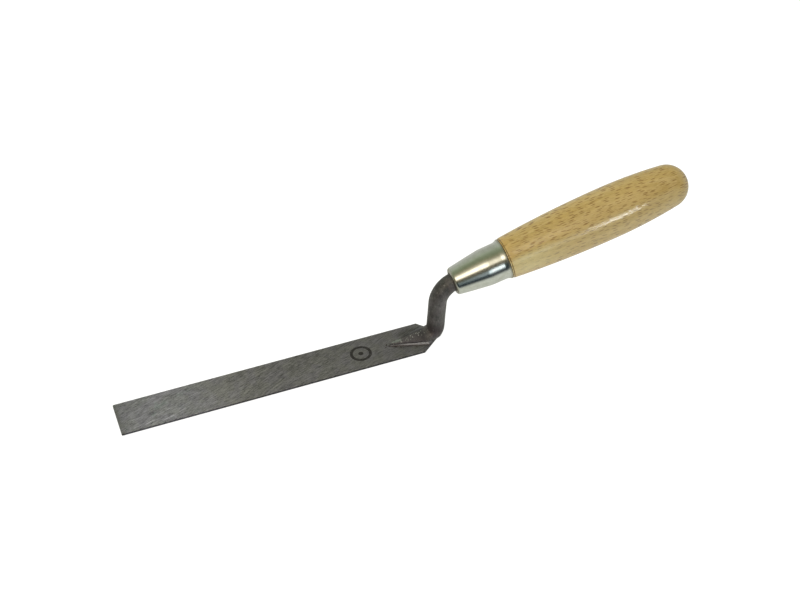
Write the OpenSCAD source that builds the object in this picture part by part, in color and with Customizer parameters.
// Narrow finger trowel (tuck pointer / brick jointer): a flat steel blade,
// a forged swan-neck shank that stands on the blade's upper face, a plated
// ferrule and a turned beech handle.
// Millimetres. +X runs along the blade towards the handle, +Z is up, away
// from the working face. The far edge is +Y, the near edge -Y. The origin is
// the centre of the blade's flat underside (its working face, z = 0).

/* [Part] */
// Which sub-part to show

/* [Blade] */
// Overall length of the blade plate
blade_length = 160; // [140:1:180]
// Width of the blade plate
blade_width = 20.8; // [18:0.2:24]
// Thickness of the blade plate
blade_thickness = 1.2; // [1:0.1:2]
// Length of the clipped rear corners, measured along the blade
clip_length = 9.7; // [8.5:0.1:11]
// How much later the far corner's clip starts, and earlier the near one's
clip_stagger = 1.4; // [0:0.1:1.6]
// Radius of the rounded nose the two clips run into, under the heel
nose_r = 2.2; // [1.8:0.1:3]
// Radius on the two tip corners
tip_corner_r = 0.6; // [0.3:0.1:1.5]

/* [Shank] */
// Diameter of the round bar of the swan neck
neck_d = 8.8; // [8:0.2:9.4]
// Distance from the blade's rear end forward to the start of the lower bend
bend_back = 9; // [8.5:0.1:9.5]
// Radius of the lower bend, to the bar's centre line
lower_bend_r = 7.4; // [7:0.1:8]
// Radius of the upper bend, to the bar's centre line
upper_bend_r = 12; // [11:0.2:12.4]
// Angle of the straight part of the neck above the blade plane
neck_angle = 84; // [80:1:88]
// Length of the arrowhead foot ahead of the lower bend
foot_length = 16; // [14:0.5:20]
// Half width of the arrowhead foot at its widest
foot_half_width = 5.2; // [4.8:0.1:5.4]
// How far the foot's wide end sits off the centre line, towards the near edge
foot_offset = 0.6; // [0:0.1:0.8]
// Height of the foot's crest above the blade at the lower bend
foot_height = 3; // [2.7:0.1:3.2]
// Height of the foot's crest above the blade at its point
foot_nose_height = 1.1; // [0.8:0.1:1.4]
// Size of the weld bead along the foot
weld_size = 0.7; // [0.5:0.1:0.9]

/* [Handle] */
// Angle of the handle's axis above the blade plane
handle_rise = 12.2; // [8:0.2:16]
// Height of the handle's axis above the working face at the ferrule's front
offset_height = 30.4; // [28:0.2:34]
// Length of the ferrule
ferrule_length = 27.4; // [26:0.1:30]
// Outside diameter of the ferrule's front lip
ferrule_front_d = 14; // [13.6:0.2:14.8]
// Outside diameter of the ferrule's straight part
ferrule_d = 18.5; // [18:0.1:19.4]
// Outside diameter of the ferrule's flared rear mouth
ferrule_mouth_d = 20.3; // [20:0.1:20.6]
// Wall thickness of the ferrule
ferrule_wall = 0.8; // [0.6:0.1:1]
// Overall length of ferrule and handle
grip_length = 125.1; // [120:0.1:132]
// Largest diameter of the handle
handle_d = 25.5; // [25:0.1:28]
// Where the largest diameter is, measured from the ferrule's front
handle_widest = 82.6; // [78:0.2:86]
// Radius of the handle's domed end
handle_end_r = 10.7; // [10.4:0.1:11.2]

/* [Hidden] */
$fn = 64;
eps = 0.01;

// ends of the blade
tip_x = -blade_length/2;
rear_x = blade_length/2;

// neck centre line: lower bend, straight, upper bend
bar_r = neck_d/2;
bend_x = rear_x - bend_back;   // start and centre of the lower bend
neck_x = bend_x + lower_bend_r*sin(neck_angle);   // foot of the straight
neck_z = lower_bend_r - lower_bend_r*cos(neck_angle);

// The straight and the handle's axis, both extended, meet at a corner that
// the upper bend rounds off. The bend ends neck_entry inside the ferrule.
neck_entry = 1.7;
upper_turn = neck_angle - handle_rise;
upper_tangent = upper_bend_r*tan(upper_turn/2);
corner_to_ferrule = upper_tangent - neck_entry;
corner_z = offset_height - corner_to_ferrule*sin(handle_rise);
neck_to_corner = (corner_z - neck_z)/sin(neck_angle);
corner_x = neck_x + neck_to_corner*cos(neck_angle);
straight_length = neck_to_corner - upper_tangent;
ferrule_x = corner_x + corner_to_ferrule*cos(handle_rise);

// points of an arc in n steps
function arc_pts(x, y, r, from, to, n) =
    [for (i = [0:n]) let (a = from + (to - from)*i/n) [x + r*cos(a), y + r*sin(a)]];

// puts children on the handle's axis: local z = distance from the ferrule's front
module on_axis() {
    translate([ferrule_x, 0, offset_height]) rotate([0, 90 - handle_rise, 0]) children();
}

/* ---- blade ---- */
nose_x = rear_x - nose_r;

// where the clip starts on a side: +1 far, -1 near
function clip_x(side) = rear_x - clip_length + side*clip_stagger;

// angle around the nose, off the +X axis, at which that clip touches it
function clip_touch(side) =
    let (dx = clip_x(side) - nose_x, dy = blade_width/2)
    atan2(dy, dx) - acos(nose_r/norm([dx, dy]));

// plan of the plate, drawn in from its edges by inset
module blade_outline(inset = 0) {
    half_width = blade_width/2 - inset;
    far = clip_touch(1);
    near = clip_touch(-1);
    corner_x = tip_x + inset + tip_corner_r;
    corner_y = half_width - tip_corner_r;
    polygon(concat(
        [[clip_x(1) - inset*tan(45 - far/2), half_width]],
        arc_pts(corner_x, corner_y, tip_corner_r, 90, 180, 6),
        arc_pts(corner_x, -corner_y, tip_corner_r, 180, 270, 6),
        [[clip_x(-1) - inset*tan(45 - near/2), -half_width]],
        arc_pts(nose_x, 0, nose_r - inset, -near, far, 10)
    ));
}

module blade() {
    color([0.36, 0.36, 0.36])
    linear_extrude(height = blade_thickness) blade_outline();
}

/* ---- shank ---- */
// the straight lengths are a hair thicker than the bends and lap over their ends
lap = 0.3;
lap_r = bar_r + 0.03;

foot_point_x = bend_x - foot_length;
foot_point_half = 0.5;         // half width of the foot's blunt point
foot_wide_x = bend_x + 1.6;
foot_heel_x = bend_x + 4.4;
foot_heel_half = bar_r - 0.15;
foot_blank = 6;                // height of the foot before the crest cuts it
crest_angle = atan((foot_height - foot_nose_height)/foot_length);
crest_r = 9.7;
crest_lead = 8;                // how far the crest's cylinder starts ahead of the point
crest_length = foot_length + 20;

// square tapered tang: side lengths at its root and end
tang_start = 5;
tang_root = 6.2;
tang_end = 3;
tang_length = 50;

// outline of the arrowhead foot, widened by grow
function foot_pts(grow) =
    let (point_x = foot_point_x - grow, point_half = foot_point_half + grow*0.35)
    [
        [point_x, point_half],
        [foot_wide_x, foot_half_width - foot_offset + grow],
        [foot_heel_x, foot_heel_half + grow],
        [foot_heel_x, -foot_heel_half - grow],
        [foot_wide_x, -foot_half_width - foot_offset - grow],
        [point_x, -point_half]
    ];

module foot() {
    intersection() {
        translate([0, 0, blade_thickness])
            linear_extrude(height = foot_blank) polygon(foot_pts(0));
        // low round crest that climbs towards the neck
        translate([foot_point_x, 0, blade_thickness + foot_nose_height])
            rotate([0, 90 - crest_angle, 0])
                translate([crest_r, 0, -crest_lead])
                    cylinder(r = crest_r, h = crest_length, $fn = 96);
    }
}

// bend of the bar in the XZ plane about (x, z); angles turn from +X towards +Z
module bend(x, z, radius, start, turn) {
    translate([x, 0, z]) rotate([90, 0, 0])
        rotate([0, 0, start])
            rotate_extrude(angle = turn, $fn = 96)
                translate([radius, 0]) circle(r = bar_r, $fn = 48);
}

// the bend's centre line starts on the working face; only what is above the
// blade's upper face is kept
module lower_bend() {
    intersection() {
        bend(bend_x, lower_bend_r, lower_bend_r, -90, neck_angle);
        translate([bend_x - 20, -10, blade_thickness]) cube([40, 20, 40]);
    }
}

module straight_neck() {
    translate([neck_x, 0, neck_z]) rotate([0, 90 - neck_angle, 0])
        translate([0, 0, -lap]) cylinder(r = lap_r, h = straight_length + 2*lap, $fn = 48);
}

module upper_bend() {
    bend(
        neck_x + straight_length*cos(neck_angle) + upper_bend_r*sin(neck_angle),
        neck_z + straight_length*sin(neck_angle) - upper_bend_r*cos(neck_angle),
        upper_bend_r, 90 + handle_rise, upper_turn
    );
}

// the tang's taper, with play added on each side and extra to its length
module tang_taper(play = 0, extra = 0) {
    translate([0, 0, tang_start - eps]) rotate([0, 0, 45])
        cylinder(
            d1 = (tang_root + 2*play)*sqrt(2),
            d2 = (tang_end + 2*play)*sqrt(2),
            h = tang_length + extra, $fn = 4
        );
}

// round bar inside the ferrule's front, then the taper
module tang() {
    on_axis() {
        translate([0, 0, neck_entry - lap])
            cylinder(r = lap_r, h = tang_start - neck_entry + lap, $fn = 48);
        tang_taper();
    }
}

module shank() {
    color([0.27, 0.25, 0.25]) union() {
        foot();
        lower_bend();
        straight_neck();
        upper_bend();
        tang();
    }
}

/* ---- weld ---- */
// thin slice of the bead, z above the blade
module weld_slice(z, grow, thickness) {
    translate([0, 0, blade_thickness + z])
        linear_extrude(height = thickness) polygon(foot_pts(grow));
}

// bead around the foot, kept just inside the blade's edges
module weld() {
    color([0.45, 0.43, 0.42])
    difference() {
        intersection() {
            hull() {
                weld_slice(0, weld_size, 0.08);
                weld_slice(weld_size*0.6, weld_size*0.6, 0.02);
                weld_slice(weld_size, weld_size*0.12, 0.02);
            }
            translate([0, 0, blade_thickness])
                linear_extrude(height = weld_size + 0.1) blade_outline(0.1);
        }
        foot();
        translate([0, 0, -eps]) lower_bend();
    }
}

/* ---- ferrule ---- */
// profiles are [radius, distance from the ferrule's front]
lip_r = 1.7;
front_outer_r = ferrule_front_d/2;
hole_r = front_outer_r - lip_r - 0.35;      // hole in the front
front_bore_r = front_outer_r - ferrule_wall;
barrel_r = ferrule_d/2;
barrel_bore_r = barrel_r - ferrule_wall;
cone_end = 17.6;
barrel_start = 18.6;
flare_start = 24.8;
flare_r = barrel_r + 0.03;                  // outside radius where the flare starts

// the bore from the end of its cone to the mouth
bore_pts = [
    [barrel_bore_r - 0.25, cone_end],
    [barrel_bore_r - 0.08, barrel_start],
    [barrel_bore_r, 24.6],
    [barrel_bore_r + 0.05, 25.6],
    [ferrule_mouth_d/2 - ferrule_wall, ferrule_length]
];

// front to rear outside, then back to the front inside
ferrule_pts = concat(
    [[hole_r, 0.25]],
    arc_pts(front_outer_r - lip_r, lip_r, lip_r, -95, -8, 8),
    [[barrel_r - 0.1, cone_end], [barrel_r - 0.02, barrel_start], [flare_r, flare_start]],
    [for (i = [1:6]) let (t = i/6) [
        flare_r + (ferrule_mouth_d/2 - flare_r)*pow(t, 1.8),
        flare_start + (ferrule_length - flare_start)*t
    ]],
    [for (i = [len(bore_pts) - 1:-1:0]) bore_pts[i]],
    [[front_bore_r, 1.9], [hole_r, 1.0]]
);

module ferrule() {
    color([0.72, 0.72, 0.70])
    on_axis() rotate_extrude($fn = 96) polygon(ferrule_pts);
}

/* ---- handle ---- */
spigot_front = 2.2;   // front of the wood inside the ferrule
fit_gap = 0.03;       // between spigot and ferrule
tang_play = 0.05;
shoulder = 0.3;       // length of the eased edge behind the ferrule
widest_r = handle_d/2;
front_arc_r = 600;

// The rear arc is tangent to the handle's widest point and to the domed end,
// which it meets at dome_angle.
dome_z = grip_length - handle_end_r;
rear_length = dome_z - handle_widest;
rear_arc_r = (pow(rear_length, 2) + pow(widest_r, 2) - pow(handle_end_r, 2))
    / (2*(widest_r - handle_end_r));
dome_angle = atan2(rear_length, rear_arc_r - widest_r);

// handle radius ahead of its widest point, at distance z from the ferrule's front
function front_r(z) =
    widest_r - front_arc_r + sqrt(pow(front_arc_r, 2) - pow(handle_widest - z, 2));

spigot_pts = concat(
    [
        [0, spigot_front],
        [front_bore_r - fit_gap - 0.6, spigot_front],
        [front_bore_r - fit_gap + 0.182, spigot_front + 1.1]
    ],
    [for (p = bore_pts) [p[0] - fit_gap, p[1]]]
);

shoulder_end = ferrule_length + shoulder;
grip_pts = concat(
    [[front_r(ferrule_length) - 0.25, ferrule_length]],
    [[front_r(shoulder_end) - 0.04, shoulder_end]],
    [for (i = [1:14]) let (z = shoulder_end + (handle_widest - shoulder_end)*i/14)
        [front_r(z), z]],
    [for (i = [1:12]) let (a = dome_angle*i/12)
        [widest_r - rear_arc_r + rear_arc_r*cos(a), handle_widest + rear_arc_r*sin(a)]],
    [for (i = [1:15]) let (a = dome_angle + (90 - dome_angle)*i/16)
        [handle_end_r*cos(a), dome_z + handle_end_r*sin(a)]],
    [[0, grip_length]]
);

module handle() {
    color([0.74, 0.6, 0.38])
    on_axis() difference() {
        rotate_extrude($fn = 96) polygon(concat(spigot_pts, grip_pts));
        // round hole for the bar, then the tang's pocket
        translate([0, 0, spigot_front - 1])
            cylinder(r = bar_r + 0.1, h = tang_start - spigot_front + 1.1, $fn = 48);
        tang_taper(tang_play, 0.3);
    }
}

blade();
shank();
weld();
ferrule();
handle();
